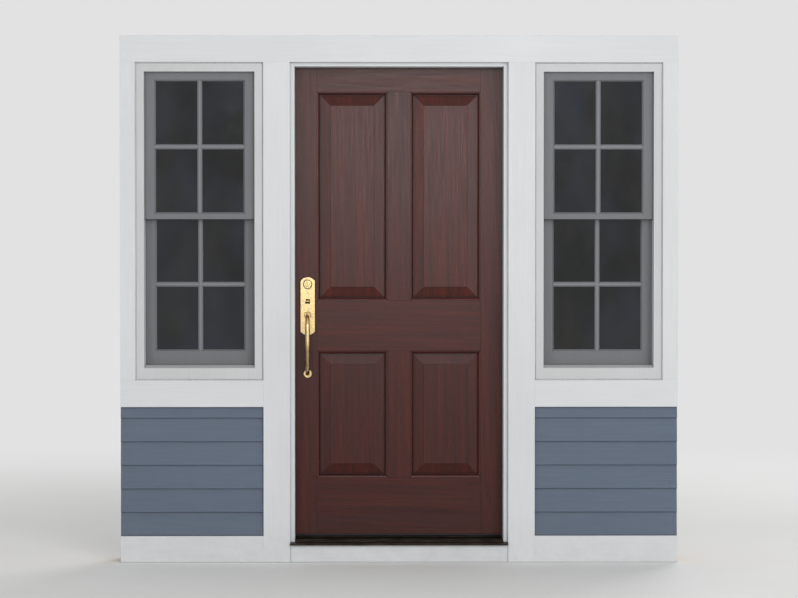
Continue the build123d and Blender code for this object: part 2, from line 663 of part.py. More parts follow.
def threshold(jambs):
    """Ribbed metal threshold: a sloping deck with a nose, and a raised cap under the door."""
    nose = WALL_FRONT - RISER_THICK - THRESHOLD_NOSE
    back = WALL_BACK + THRESHOLD_BACK
    deck_end = STOP_SHOULDER - THRESHOLD_CAP_RISE
    deck_top = THRESHOLD_TOP - THRESHOLD_CAP_RISE
    nose_top = SILL_HEIGHT + THRESHOLD_NOSE_THICK
    outline = Polygon(
        (nose, SILL_HEIGHT),
        (nose, nose_top),
        (deck_end, deck_top),
        (deck_end + THRESHOLD_CAP_RISE, THRESHOLD_TOP),
        (back - THRESHOLD_CAP_RISE, THRESHOLD_TOP),
        (back, deck_top),
        (back, SILL_HEIGHT),
        align=None,
    )
    slope = (deck_top - nose_top) / (deck_end - nose)
    middle = (nose + deck_end) / 2
    for index in range(THRESHOLD_RIBS):
        y = middle + (index - (THRESHOLD_RIBS - 1) / 2) * RIB_PITCH
        z = nose_top + (y - nose) * slope
        outline -= Pos(y, z) * Rectangle(RIB_WIDTH, 2 * RIB_DEPTH)
    return along_x(outline, -CASING_EDGE, CASING_EDGE) - jambs


def window_frame():
    """The right window's frame: sill, jambs and head with two sash tracks and a parting bead."""
    left = WINDOW_EDGE
    right = WINDOW_END
    frame = block(left, right, WALL_FRONT, WALL_BACK, WINDOW_BOTTOM, HEAD_BACK)
    frame += block(left, right, FRAME_FRONT, WALL_FRONT, WINDOW_BOTTOM, HEAD_CASING_BOTTOM)
    x0 = WINDOW_MIDDLE - SASH_OPENING_HALF
    x1 = WINDOW_MIDDLE + SASH_OPENING_HALF
    frame -= block(
        x0, x1, FRAME_FRONT - PAST, WALL_BACK + PAST, SASH_OPENING_BOTTOM, SASH_OPENING_TOP
    )
    tracks = ((UPPER_TRACK_FRONT, UPPER_TRACK_BACK), (LOWER_TRACK_FRONT, LOWER_TRACK_BACK))
    for front, back in tracks:
        frame -= block(
            WINDOW_MIDDLE - TRACK_HALF, WINDOW_MIDDLE + TRACK_HALF, front, back,
            SASH_OPENING_BOTTOM, SASH_OPENING_TOP + TRACK_DEPTH,
        )
    slope = Polygon(
        (FRAME_FRONT, SASH_OPENING_BOTTOM - WINDOW_SILL_SLOPE),
        (UPPER_TRACK_FRONT, SASH_OPENING_BOTTOM),
        (FRAME_FRONT, SASH_OPENING_BOTTOM),
        align=None,
    )
    return frame - along_x(slope, x0, x1)


def sash(front, bottom, top, bottom_rail, top_rail, lap):
    """One sash of the right window: a grooved and chamfered frame whose meeting rail reaches to y = lap."""
    half = TRACK_HALF - SASH_PLAY
    back = front + SASH_THICK
    glass_half = SASH_OPENING_HALF - SASH_STILE_FACE
    frame = block(WINDOW_MIDDLE - half, WINDOW_MIDDLE + half, front, back, bottom, top)
    low = bottom + bottom_rail
    high = top - top_rail
    frame -= block(
        WINDOW_MIDDLE - glass_half, WINDOW_MIDDLE + glass_half, front - PAST, back + PAST, low, high
    )
    frame = chamfer(frame.faces().sort_by(Axis.Y)[0].inner_wires()[0].edges(), PUTTY_CHAMFER)
    middle = (front + back) / 2
    frame -= block(
        WINDOW_MIDDLE - glass_half - GLASS_BITE, WINDOW_MIDDLE + glass_half + GLASS_BITE,
        middle - GLASS_THICK / 2 - GLASS_PLAY, middle + GLASS_THICK / 2 + GLASS_PLAY,
        low - GLASS_BITE, high + GLASS_BITE,
    )
    rail_half = SASH_OPENING_HALF - SASH_PLAY
    meeting_low = MEETING_MIDDLE - MEETING_RAIL / 2
    lap_front, lap_back = (back, lap) if lap > back else (lap, front)
    return frame + block(
        WINDOW_MIDDLE - rail_half, WINDOW_MIDDLE + rail_half, lap_front, lap_back,
        meeting_low, meeting_low + MEETING_RAIL,
    )


def upper_sash():
    """Outer sash, the upper half of the window."""
    front = UPPER_TRACK_FRONT + SASH_PLAY
    bottom = MEETING_MIDDLE - MEETING_RAIL / 2
    hidden = TRACK_DEPTH - SASH_PLAY
    lap = SASH_MEETING_PLANE - SASH_PLAY / 2
    return sash(front, bottom, SASH_OPENING_TOP + hidden, MEETING_RAIL, SASH_TOP_FACE + hidden, lap)


def lower_sash():
    """Inner sash, the lower half of the window, standing on the sill."""
    front = LOWER_TRACK_FRONT + SASH_PLAY
    top = MEETING_MIDDLE + MEETING_RAIL / 2
    lap = SASH_MEETING_PLANE + SASH_PLAY / 2
    return sash(front, SASH_OPENING_BOTTOM, top, SASH_BOTTOM_RAIL, MEETING_RAIL, lap)


def pane(front, low, high):
    """A sheet of glass in a sash's groove."""
    half = SASH_OPENING_HALF - SASH_STILE_FACE + GLASS_BITE - GLASS_PLAY
    middle = front + SASH_PLAY + SASH_THICK / 2
    reach = GLASS_BITE - GLASS_PLAY
    return block(
        WINDOW_MIDDLE - half, WINDOW_MIDDLE + half,
        middle - GLASS_THICK / 2, middle + GLASS_THICK / 2, low - reach, high + reach,
    )


def window_panes():
    """Both sheets of the right window."""
    rail = MEETING_RAIL / 2
    upper = pane(UPPER_TRACK_FRONT, MEETING_MIDDLE + rail, SASH_OPENING_TOP - SASH_TOP_FACE)
    lower = pane(LOWER_TRACK_FRONT, SASH_OPENING_BOTTOM + SASH_BOTTOM_RAIL, MEETING_MIDDLE - rail)
    return upper + lower


def wall_pieces():
    """Posts, header, knee walls, sill block and riser, by node name."""
    front = WALL_FRONT
    back = WALL_BACK
    mull = block(JAMB_BACK, WINDOW_EDGE, front, back, 0, HEAD_BACK)
    end = block(WINDOW_END, UNIT_HALF, front, back, 0, HEAD_BACK)
    knee_wall = block(WINDOW_EDGE, WINDOW_END, front, back, 0, WINDOW_BOTTOM)
    return {
        "wall_posts": both_sides(mull + end),
        "header": block(-UNIT_HALF, UNIT_HALF, front, back, HEAD_BACK, UNIT_HEIGHT),
        "knee_walls": both_sides(knee_wall),
        "sill_block": block(-JAMB_BACK, JAMB_BACK, front, back, 0, SILL_HEIGHT),
        "riser_board": block(-CASING_EDGE, CASING_EDGE, front - RISER_THICK, front, 0, SILL_HEIGHT),
    }


def outside_boards():
    """Flat painted boards and the siding on the outside face, by node name."""
    front = CASING_FRONT
    back = WALL_FRONT
    head = block(-UNIT_HALF, UNIT_HALF, front, back, HEAD_CASING_BOTTOM, UNIT_HEIGHT)
    door = block(CASING_EDGE, WINDOW_EDGE, front, back, 0, HEAD_CASING_BOTTOM)
    end = block(WINDOW_END, UNIT_HALF, front, back, WINDOW_BOTTOM, HEAD_CASING_BOTTOM)
    apron = block(WINDOW_EDGE, UNIT_HALF, front, back, APRON_BOTTOM, WINDOW_BOTTOM)
    skirt = block(WINDOW_EDGE, UNIT_HALF, front, back, 0, SKIRT_HEIGHT)
    siding = block(WINDOW_EDGE, UNIT_HALF, back - SIDING_THICK, back, SKIRT_HEIGHT, APRON_BOTTOM)
    return {
        "head_casing": head,
        "door_casings": both_sides(door),
        "end_casings": both_sides(end),
        "aprons": both_sides(apron),
        "skirt_boards": both_sides(skirt),
        "siding": both_sides(siding),
    }


def inside_trim():
    """Plain boards on the inside face, by node name."""
    back = INSIDE_FACE
    head_z = HEAD_FACE + INSIDE_REVEAL
    mull = block(INSIDE_CASING_EDGE, INSIDE_WINDOW_EDGE, WALL_BACK, back, 0, head_z)
    end = block(INSIDE_WINDOW_END, UNIT_HALF, WALL_BACK, back, SASH_OPENING_BOTTOM, head_z)
    sill = block(
        INSIDE_WINDOW_EDGE, UNIT_HALF, WALL_BACK, WALL_BACK + INSIDE_SILL_DEPTH,
        SASH_OPENING_BOTTOM - INSIDE_SILL_THICK, SASH_OPENING_BOTTOM,
    )
    nose = sill.edges().filter_by(Axis.X).group_by(Axis.Y)[-1]
    skirting = block(
        INSIDE_WINDOW_EDGE, UNIT_HALF, WALL_BACK, WALL_BACK + SKIRTING_THICK, 0, SKIRTING_HEIGHT
    )
    return {
        "inside_head_casing": block(-UNIT_HALF, UNIT_HALF, WALL_BACK, back, head_z, UNIT_HEIGHT),
        "inside_casings": both_sides(mull + end),
        "inside_sills": both_sides(fillet(nose, INSIDE_SILL_ROUND)),
        "inside_skirting": both_sides(skirting),
    }


def door_pieces():
    """Everything that swings with the door, by node name."""
    lock, hinge = plain_stiles()
    rails = make_rails(lock, hinge)
    upper, lower = make_mullions(rails)
    edge_plates = lock_edge_plates(lock)
    for z in HINGE_HEIGHTS:
        hinge -= leaf_plate(-1, z)
    return {
        "lock_stile": lock - edge_plates - thumb_pocket(),
        "hinge_stile": hinge,
        **rails,
        "upper_mullion": upper,
        "lower_mullion": lower,
        "upper_panels": panel_pair(UPPER_OPENING_BOTTOM, UPPER_OPENING_TOP),
        "lower_panels": panel_pair(LOWER_OPENING_BOTTOM, LOWER_OPENING_TOP),
        "door_sweep": door_sweep(),
        "door_hinge_leaves": hinge_leaves(-1, 1),
        "lock_faceplates": edge_plates,
        "outer_handle_plate": outer_handle_plate(),
        "handle_grip": handle_grip(),
        "key_cylinder": key_cylinder(),
        "thumb_piece": thumb_piece(),
        "inner_lock_plate": lock_plate(WALL_BACK, 1),
        "inside_knob": inside_knob(),
        "bolt_turn": bolt_turn(),
    }


def frame_pieces():
    """Door frame, threshold, hinges and windows, by node name."""
    hinge_side = side_jamb()
    lock_side = mirror(hinge_side, about=Plane.YZ)
    jambs = hinge_side + lock_side
    for z in HINGE_HEIGHTS:
        hinge_side -= leaf_plate(1, z)
    strikes = strike_plates()
    lock_side -= strikes
    for z in LOCK_HEIGHTS:
        lock_side -= strike_hole(z)
    return {
        "hinge_jamb": hinge_side,
        "lock_jamb": lock_side,
        "head_jamb": head_jamb(jambs),
        "weatherstrip": weatherstrip(),
        "strike_plates": strikes,
        "frame_hinge_leaves": hinge_leaves(1, 0),
        "hinge_pins": hinge_pins(),
        "threshold": threshold(jambs),
        "window_frames": both_sides(window_frame()),
        "upper_sashes": both_sides(upper_sash()),
        "lower_sashes": both_sides(lower_sash()),
        "window_panes": both_sides(window_panes()),
    }


os.makedirs("parts", exist_ok=True)
pieces = {**door_pieces(), **frame_pieces(), **wall_pieces(), **outside_boards(), **inside_trim()}
for name, solid in pieces.items():
    export_step(solid, f"parts/{name}.step")
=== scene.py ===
from math import pi, radians

import bmesh
import bpy
import numpy as np
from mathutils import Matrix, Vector


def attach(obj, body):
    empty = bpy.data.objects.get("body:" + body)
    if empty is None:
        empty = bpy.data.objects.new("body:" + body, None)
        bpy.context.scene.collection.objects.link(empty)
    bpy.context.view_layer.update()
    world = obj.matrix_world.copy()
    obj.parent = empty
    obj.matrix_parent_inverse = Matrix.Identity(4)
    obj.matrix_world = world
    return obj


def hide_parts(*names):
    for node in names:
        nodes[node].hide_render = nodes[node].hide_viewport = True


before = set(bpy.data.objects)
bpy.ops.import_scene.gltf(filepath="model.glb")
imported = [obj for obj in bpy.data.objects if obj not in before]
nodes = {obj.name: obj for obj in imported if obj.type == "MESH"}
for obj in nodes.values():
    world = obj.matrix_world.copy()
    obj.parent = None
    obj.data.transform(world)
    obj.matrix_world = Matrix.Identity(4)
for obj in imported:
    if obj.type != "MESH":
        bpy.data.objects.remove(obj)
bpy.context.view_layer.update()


def reach(name, axis):
    """Least and greatest place of a CAD node along an axis, in metres, rounded to a micrometre.

    Across the unit it is the distance from the middle, because left and right pieces mirror each
    other."""
    places = np.empty(3 * len(nodes[name].data.vertices), np.float32)
    nodes[name].data.vertices.foreach_get("co", places)
    places = places["XYZ".index(axis)::3]
    if axis == "X":
        places = np.abs(places)
    return tuple(round(float(place), 6) for place in (places.min(), places.max()))


# Sizes and places are in metres. The doorway's middle is at x 0, the outside is towards -y and the
# ground is at z 0. These are read from the CAD.
DOOR_HALF = reach("lock_stile", "X")[1]
DOOR_FRONT, DOOR_BACK = reach("lock_stile", "Y")
DOOR_MIDDLE = (DOOR_FRONT + DOOR_BACK) / 2
STILE_SHOULDER = reach("lock_rail", "X")[1]
UPPER_SHOULDERS = reach("upper_mullion", "Z")
LOWER_SHOULDERS = reach("lower_mullion", "Z")
LOCK_X = -sum(reach("outer_handle_plate", "X")) / 2
OUTER_PLATE_FACE = reach("outer_handle_plate", "Y")[0]
INNER_PLATE_FACE = reach("inner_lock_plate", "Y")[1]
JAMB_FACE = reach("strike_plates", "X")[0]
HINGES_LOW, HINGES_HIGH = reach("frame_hinge_leaves", "Z")
FRAME_INNER, FRAME_OUTER = reach("window_frames", "X")
FRAME_FRONT = reach("window_frames", "Y")[0]
WINDOW_LOW, WINDOW_HIGH = reach("end_casings", "Z")
PANE_INNER, PANE_OUTER = reach("window_panes", "X")
PANE_FRONT, PANE_BACK = reach("window_panes", "Y")
PANE_LOW, PANE_HIGH = reach("window_panes", "Z")
UPPER_SASH_LOW = reach("upper_sashes", "Z")[0]
LOWER_SASH_HIGH = reach("lower_sashes", "Z")[1]
SIDING_INNER, SIDING_OUTER = reach("siding", "X")
SIDING_FRONT, WALL_FRONT = reach("siding", "Y")
SIDING_LOW, SIDING_HIGH = reach("siding", "Z")
WALL_BACK = reach("wall_posts", "Y")[1]

# These are the CAD's too, but no node ends at them.
LOCK_EDGE_BEVEL = 0.0024
LATCH_Z, BOLT_Z = 1.122, 1.195
HINGE_TALL = 0.1016
GLASS_THICK = 0.005
GLASS_BITE = 0.0078

WINDOW_MIDDLE = (FRAME_INNER + FRAME_OUTER) / 2
WINDOW_HALF = (FRAME_OUTER - FRAME_INNER) / 2
GLASS_HALF = (PANE_OUTER - PANE_INNER) / 2 - GLASS_BITE
# The glass of an upper and of a lower sash: its outer and inner face, and where it shows from and to.
GLASS = (
    (PANE_FRONT, PANE_FRONT + GLASS_THICK, LOWER_SASH_HIGH, PANE_HIGH - GLASS_BITE),
    (PANE_BACK - GLASS_THICK, PANE_BACK, PANE_LOW + GLASS_BITE, UPPER_SASH_LOW),
)

# Lapped boards: the height that shows, how far the face leans back over it, how far the butt stands
# behind the plain siding, the lap, the butt's rounding, and the face's unevenness, as the height of
# its waves and, for each of them, radians a metre and the turn from board to board.
EXPOSURE = 0.1016
BOARD_RISE = 0.0092
BOARD_SETBACK = 0.0007
BOARD_LAP = 0.012
BUTT_RADIUS = 0.0025
BOARD_WAVE_HEIGHT = 0.00035
BOARD_WAVES = ((31, 2.1), (74, 4.7))

# Glazing bars: half width at the glass and at the nose, height, fillet, bite into the sash, and how
# much lower the level bars are.
BAR_HALF, BAR_NOSE, BAR_HEIGHT, BAR_FILLET = 0.0115, 0.0045, 0.0125, 0.0015
BAR_BITE = 0.006
BAR_STEP = 0.0003

CAULK_RADIUS = 0.005

# Fasteners: radius and rise of the head, and half the width of a screw's slot.
NAIL = (0.004, 0.0006)
PLATE_SCREW = (0.0042, 0.0011, 0.0007)
EDGE_SCREW = (0.0036, 0.0005, 0.0006)
LEAF_SCREW = (0.0042, 0.0005, 0.0007)
NAIL_ROWS = 5
NAIL_RISE = 0.022
NAIL_PLACES = (0.612, 0.890, 1.168)
PLATE_SCREW_HEIGHTS = (0.986, 1.1585)
FACEPLATE_SCREW_REACH, STRIKE_SCREW_REACH = 0.022, 0.028
# On a hinge leaf: height from the leaf's middle, and depth from the door's inside face.
LEAF_SCREW_PLACES = ((-0.038, 0.014), (-0.013, 0.028), (0.013, 0.014), (0.038, 0.028))
# Ends of the latch and the bolt: height, and half sizes across and up.
BOLT_ENDS = ((LATCH_Z, 0.0065, 0.011), (BOLT_Z, 0.0055, 0.0125))
BOLT_END_RISE = 0.0006
# How far heads and bolt ends go down into what carries them.
ROOT = 0.0008

# Corners closer than the first are joined, and edges that turn by more than the second stay sharp.
DOUBLES = 1e-6
CREASE = radians(35)


def surface(name, rings, body, material, looped=False):
    """Closed surfaces from rings[copy, ring, point, xyz].

    Neighbouring rings are joined by quads all the way round. The first and last ring of each copy get
    a face of their own, unless the rings run in a loop and meet again."""
    copies, length, around, _ = rings.shape
    first = np.arange(copies)[:, None, None] * length * around
    ring = np.arange(length - 1)[None, :, None] * around
    step = np.arange(around)[None, None, :]
    a = first + ring + step
    b = first + ring + (step + 1) % around
    faces = np.stack([a, b, b + around, a + around], -1).reshape(-1, 4).tolist()
    if not looped:
        faces += (first[:, 0] + step[0, :, ::-1]).tolist()
        faces += (first[:, 0] + (length - 1) * around + step[0]).tolist()
    mesh = bpy.data.meshes.new(name)
    mesh.from_pydata(rings.reshape(-1, 3).tolist(), [], faces)
    work = bmesh.new()
    work.from_mesh(mesh)
    bmesh.ops.remove_doubles(work, verts=work.verts, dist=DOUBLES)
    bmesh.ops.recalc_face_normals(work, faces=work.faces)
    work.to_mesh(mesh)
    work.free()
    mesh.shade_smooth()
    mesh.set_sharp_from_angle(angle=CREASE)
    mesh.materials.append(material)
    piece = bpy.data.objects.new(name, mesh)
    bpy.context.scene.collection.objects.link(piece)
    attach(piece, body)
    return piece


def quarter_turn(count):
    """Even steps from 0 to 90 degrees."""
    return np.linspace(0, pi / 2, count)


def full_turn(count):
    """Even steps round a circle, without the last, which is the first again."""
    return np.linspace(0, 2 * pi, count, endpoint=False)


def carried(profile, start, end, across, out):
    """Both end rings of a straight moulding.

    Profile point (a, o) lies at a·across + o·out from the line that runs from start to end."""
    line = np.array([start, end])[:, None, :]
    return line + profile[:, :1] * np.array(across) + profile[:, 1:] * np.array(out)


def ovolo_profile(height):
    """Section of a glazing bar on the glass: a flat nose, and sides that are quarter ellipses.

    At angle t a side lies at across = nose + (half - nose)·cos t and out = fillet +
    (height - 2·fillet)·sin t."""
    t = quarter_turn(7)
    across = BAR_NOSE + (BAR_HALF - BAR_NOSE) * np.cos(t)
    out = BAR_FILLET + (height - 2 * BAR_FILLET) * np.sin(t)
    side = np.vstack([[BAR_HALF, 0], np.column_stack([across, out]), [BAR_NOSE, height]])
    return np.vstack([side, side[::-1] * [-1, 1]])


def window_bars():
    """The bars that part each sash into four panes, outside and inside the glass, in both windows.

    Each is the ovolo section carried along a straight line. The level bars are a hair lower than the
    upright ones, so the upright ones run through."""
    upright, level = ovolo_profile(BAR_HEIGHT), ovolo_profile(BAR_HEIGHT - BAR_STEP)
    half = GLASS_HALF + BAR_BITE
    bars = []
    for outer_face, inner_face, low, high in GLASS:
        cross = (low + high) / 2
        for out, y in ((-1, outer_face), (1, inner_face)):
            for x in (-WINDOW_MIDDLE, WINDOW_MIDDLE):
                foot, top = (x, y, low - BAR_BITE), (x, y, high + BAR_BITE)
                bars.append(carried(upright, foot, top, (1, 0, 0), (0, out, 0)))
                left, right = (x - half, y, cross), (x + half, y, cross)
                bars.append(carried(level, left, right, (0, 0, 1), (0, out, 0)))
    return np.array(bars)


def clapboards():
    """Lapped boards below the windows.

    Each board is a wedge: its face leans back from the butt by a fixed rise over one exposure, and the
    butt's lower edge is a quarter round. Along the board the face waves by a sum of two sines."""
    count = int(np.ceil((SIDING_HIGH - SIDING_LOW) / EXPOSURE))
    t = quarter_turn(5)
    x = np.linspace(SIDING_INNER, SIDING_OUTER, 40)
    boards = []
    for index in range(count):
        low = SIDING_LOW + index * EXPOSURE
        high = min(low + EXPOSURE + BOARD_LAP, SIDING_HIGH)
        foot = [SIDING_FRONT + BUTT_RADIUS * (1 - np.sin(t)), low + BUTT_RADIUS * (1 - np.cos(t))]
        face_z = np.linspace(low + 2 * BUTT_RADIUS, high, 6)
        face = [SIDING_FRONT + BOARD_RISE * (face_z - low) / EXPOSURE, face_z]
        front = np.hstack([foot, face]).T + [BOARD_SETBACK, 0]
        back = [[WALL_FRONT, high], [WALL_FRONT, low]]
        profile = np.vstack([front, back])
        wave = BOARD_WAVE_HEIGHT * sum(np.sin(x * pace + index * turn) for pace, turn in BOARD_WAVES)
        rings = np.zeros((len(x), len(profile), 3))
        rings[:, :, 0] = x[:, None]
        rings[:, :, 1:] = profile
        rings[:, :len(front), 1] += wave[:, None]
        boards += [rings, rings * [-1, 1, 1]]
    return np.array(boards)


def heads(places, out, radius, rise, slot_half=0.0, around=24):
    """Domed fastener heads: ring v has radius r·sin v and height rise·cos v, v from 0 to 90 degrees.

    The last ring goes straight down by the root. A slot lowers the dome to a fifth of its height
    within its half width, and from there the height grows back by the smooth step 3e² - 2e³ up to
    twice the half width."""
    v = quarter_turn(7)[:, None]
    u = full_turn(around)
    a = radius * np.sin(v) * np.cos(u)
    b = radius * np.sin(v) * np.sin(u)
    height = rise * np.cos(v) * np.ones(around)
    if slot_half:
        edge = np.clip((np.abs(a) - slot_half) / slot_half, 0, 1)
        height = height * (0.2 + 0.8 * edge * edge * (3 - 2 * edge))
    root = np.full((1, around), -ROOT)
    a, b, height = np.vstack([a, a[-1:]]), np.vstack([b, b[-1:]]), np.vstack([height, root])
    up = np.array([0.0, 0.0, 1.0])
    across = np.cross(out, up)
    shape = a[:, :, None] * across + b[:, :, None] * up + height[:, :, None] * np.array(out, float)
    return np.array(places)[:, None, None, :] + shape


def siding_nails():
    """Nail heads a little above the butts: each lies on its board's leaning face."""
    y = SIDING_FRONT + BOARD_SETBACK + BOARD_RISE * NAIL_RISE / EXPOSURE
    places = [
        (side * x, y, SIDING_LOW + row * EXPOSURE + NAIL_RISE)
        for side in (-1, 1) for row in range(NAIL_ROWS) for x in NAIL_PLACES
    ]
    return heads(places, (0, -1, 0), *NAIL, around=12)


def plate_screws():
    """Two screws in the handle plate outside and two in the plate inside."""
    sides = []
    for y, out in ((OUTER_PLATE_FACE, -1), (INNER_PLATE_FACE, 1)):
        places = [(LOCK_X, y, z) for z in PLATE_SCREW_HEIGHTS]
        sides.append(heads(places, (0, out, 0), *PLATE_SCREW))
    return np.concatenate(sides)


def edge_screws(x, out, distance):
    """Screws above and below the latch and the bolt, in the plates of the lock edge or of the jamb."""
    places = [(x, DOOR_MIDDLE, z + dz) for z in (LATCH_Z, BOLT_Z) for dz in (-distance, distance)]
    return heads(places, (out, 0, 0), *EDGE_SCREW)


def leaf_screws(x, out):
    """Four screws, staggered, in each of the three hinge leaves of the door or of the jamb."""
    middles = np.linspace(HINGES_LOW + HINGE_TALL / 2, HINGES_HIGH - HINGE_TALL / 2, 3)
    places = [(x, DOOR_BACK - depth, z + dz) for z in middles for dz, depth in LEAF_SCREW_PLACES]
    return heads(places, (out, 0, 0), *LEAF_SCREW)


def bolt_ends():
    """Ends of the latch and the bolt in the lock edge: flat pillows.

    Their outline is |y|^4 + |z|^4 = 1 times the half sizes. Ring v is (sin v)^0.3 of the outline and
    stands out by rise·cos v, v from 0 to 90 degrees. The last ring goes down by the root, and all of
    them follow the bevel of the edge."""
    v = quarter_turn(6)
    u = full_turn(32)
    y = np.sign(np.cos(u)) * np.abs(np.cos(u)) ** 0.5
    z = np.sign(np.sin(u)) * np.abs(np.sin(u)) ** 0.5
    ring = np.append(np.sin(v) ** 0.3, 1.0)[:, None]
    rise = np.append(-BOLT_END_RISE * np.cos(v), ROOT)[:, None]
    shapes = []
    for height, half_y, half_z in BOLT_ENDS:
        deep = half_y * ring * y
        lean = LOCK_EDGE_BEVEL * (DOOR_BACK - DOOR_MIDDLE - deep) / (DOOR_BACK - DOOR_FRONT)
        points = np.stack([rise - DOOR_HALF + lean, deep + DOOR_MIDDLE, half_z * ring * z + height], -1)
        shapes.append(points)
    return np.array(shapes)


def caulk_lines():
    """A bead in the corner between window frame and casings.

    Its section is a hollow quarter round, inward = r·(1 - cos t) and out = r·(1 - sin t), carried
    round the opening with a ring in each corner."""
    t = quarter_turn(6)
    inward = np.concatenate([[0], CAULK_RADIUS * (1 - np.cos(t))[::-1]])
    out = np.concatenate([[0], CAULK_RADIUS * (1 - np.sin(t))[::-1]])
    loops = []
    for middle in (-WINDOW_MIDDLE, WINDOW_MIDDLE):
        rings = []
        for turn_x, turn_z in ((1, 1), (-1, 1), (-1, -1), (1, -1), (1, 1)):
            corner_x = middle - turn_x * WINDOW_HALF
            corner_z = WINDOW_LOW if turn_z > 0 else WINDOW_HIGH
            ring = [corner_x + turn_x * inward, FRAME_FRONT - out, corner_z + turn_z * inward]
            rings.append(np.stack(ring, -1))
        loops.append(rings)
    return np.array(loops)


def linear(colour):
    """sRGB hex to linear RGBA."""
    srgb = np.array([int(colour[i:i + 2], 16) for i in (1, 3, 5)]) / 255
    value = np.where(srgb <= 0.04045, srgb / 12.92, ((srgb + 0.055) / 1.055) ** 2.4)
    return (*value.tolist(), 1.0)


def between(one, two, share):
    """The sRGB hex value that lies a share of the way from one to two."""
    pairs = [(int(one[i:i + 2], 16), int(two[i:i + 2], 16)) for i in (1, 3, 5)]
    return "#" + "".join(f"{round(a + (b - a) * share):02X}" for a, b in pairs)


def add(tree, kind, inputs=None, **settings):
    """Adds a node with its settings; inputs are numbers, colours or links, by socket name or number."""
    made = tree.nodes.new(kind)
    for name, value in settings.items():
        setattr(made, name, value)
    for name, value in (inputs or {}).items():
        if isinstance(value, bpy.types.NodeSocket):
            tree.links.new(value, made.inputs[name])
        else:
            made.inputs[name].default_value = value
    return made


def bare_material(name, **sockets):
    """A material with only its Principled shader. Sockets are set by name, with _ for a space."""
    material = bpy.data.materials.new(name)
    material.use_nodes = True
    tree = material.node_tree
    shader = tree.nodes["Principled BSDF"]
    for key, value in sockets.items():
        shader.inputs[key.replace("_", " ")].default_value = value
    return material, tree, shader


def finished(tree, shader, colour, roughness, relief, normal=None):
    """Joins colour, roughness and relief to the shader.

    Roughness is a pattern, and the values at its least and its greatest. Relief is a pattern, its
    strength and its depth in millimetres, and it is laid over the normal if there is one."""
    pattern, least, most = roughness
    rough = add(tree, "ShaderNodeMapRange", {"Value": pattern, "To Min": least, "To Max": most})
    pattern, strength, depth_mm = relief
    inputs = {"Height": pattern, "Strength": strength, "Distance": depth_mm / 1000}
    if normal:
        inputs["Normal"] = normal
    bump = add(tree, "ShaderNodeBump", inputs)
    tree.links.new(colour, shader.inputs["Base Color"])
    tree.links.new(rough.outputs[0], shader.inputs["Roughness"])
    tree.links.new(bump.outputs[0], shader.inputs["Normal"])


# How far apart two seeds, and a left and a right solid, are in a pattern, in metres.
SEED_STEP = 1.31
PAIR_STEP = 3.7


def distance_along(tree, axis):
    """How far a point lies along an axis, in metres."""
    place = add(tree, "ShaderNodeTexCoord").outputs["Object"]
    return add(tree, "ShaderNodeSeparateXYZ", {0: place}).outputs["XYZ".index(axis)]


def placed(tree, axis="Z", seed=0, stretch=1.0, paired=False):
    """Object coordinates in metres, moved by a seed.

    They are squeezed along an axis, so that a pattern runs long there. On a node with a left and a
    right solid, the right one is moved again and gets a pattern of its own."""
    place = add(tree, "ShaderNodeTexCoord").outputs["Object"]
    if paired:
        side = distance_along(tree, "X")
        right = add(tree, "ShaderNodeMath", {0: side, 1: 0.0}, operation="GREATER_THAN").outputs[0]
        shift = add(tree, "ShaderNodeMath", {0: right, 1: PAIR_STEP}, operation="MULTIPLY").outputs[0]
        place = add(tree, "ShaderNodeVectorMath", {0: place, 1: shift}, operation="ADD").outputs[0]
    scale = [1.0, 1.0, 1.0]
    scale["XYZ".index(axis)] = 1 / stretch
    moved = {"Vector": place, "Location": (0.0, seed * SEED_STEP, 0.0), "Scale": scale}
    return add(tree, "ShaderNodeMapping", moved).outputs[0]


def patches(tree, place, size_mm, detail=2.0, roughness=0.5, low=0.0, high=1.0):
    """Soft patches about size_mm across.

    The noise lies mostly between 0.3 and 0.7, and that range is spread from low to high."""
    cloud = {"Vector": place, "Scale": 1000 / size_mm, "Detail": detail, "Roughness": roughness}
    value = add(tree, "ShaderNodeTexNoise", cloud).outputs[0]
    spread = {"Value": value, "From Min": 0.3, "From Max": 0.7, "To Min": low, "To Max": high}
    return add(tree, "ShaderNodeMapRange", spread).outputs[0]


def laid_over(tree, under, amount, tint, *patterns):
    """Lays a tint over the colour below, by the given amount at most, where all the patterns are high.

    Either colour is a link or an sRGB hex value."""
    much = amount
    for pattern in patterns:
        much = add(tree, "ShaderNodeMath", {0: pattern, 1: much}, operation="MULTIPLY").outputs[0]
    under, tint = (linear(colour) if isinstance(colour, str) else colour for colour in (under, tint))
    # On a colour mix, sockets 6 and 7 are the two colours, and output 2 is the mixed one.
    return add(tree, "ShaderNodeMix", {0: much, 6: under, 7: tint}, data_type="RGBA").outputs[2]


def arris(tree, radius_mm):
    """Normal softened at the edges, and how near an edge a point is, from 0 to 1."""
    soft = add(tree, "ShaderNodeBevel", {"Radius": radius_mm / 1000}, samples=4).outputs[0]
    flat = add(tree, "ShaderNodeNewGeometry").outputs["True Normal"]
    agree = add(tree, "ShaderNodeVectorMath", {0: soft, 1: flat}, operation="DOT_PRODUCT")
    turned = {"Value": agree.outputs["Value"], "From Min": 0.98, "From Max": 0.75}
    return soft, add(tree, "ShaderNodeMapRange", turned).outputs[0]


def recess(tree, reach_mm):
    """1 in a corner that other faces hem in within the reach, 0 in the open."""
    sky = add(tree, "ShaderNodeAmbientOcclusion", {"Distance": reach_mm / 1000}, samples=6)
    shut = {"Value": sky.outputs["AO"], "From Min": 0.95, "From Max": 0.50}
    return add(tree, "ShaderNodeMapRange", shut).outputs[0]


